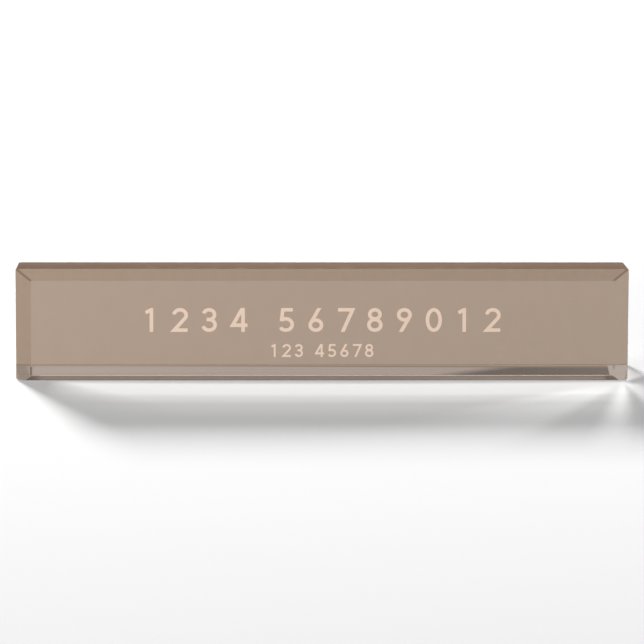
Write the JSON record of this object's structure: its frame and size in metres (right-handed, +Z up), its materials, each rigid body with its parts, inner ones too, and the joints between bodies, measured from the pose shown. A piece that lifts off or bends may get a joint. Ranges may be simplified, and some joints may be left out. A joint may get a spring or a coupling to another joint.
{
  "type": "desk name plate",
  "caption": "Clear acrylic desk name plate: a solid slab that leans back on a level base, bevelled round its front, printed in a plain colour on its back and read through the acrylic.",
  "frame": {"origin": "Middle of the footprint, on the surface that the plate stands on.", "axes": "+X runs along the plate's width to the reader's right, +Y from the bevelled front towards the printed back, +Z up."},
  "size_m": [0.254, 0.0328, 0.0457],
  "materials": {
    "clear_acrylic": "polished",
    "taupe_ink": "satin",
    "white_ink": "satin"
  },
  "bodies": {
    "root": {"acrylic_block": "clear_acrylic", "colour_coat": "taupe_ink", "backing_coat": "white_ink"}
  },
  "joints": []
}
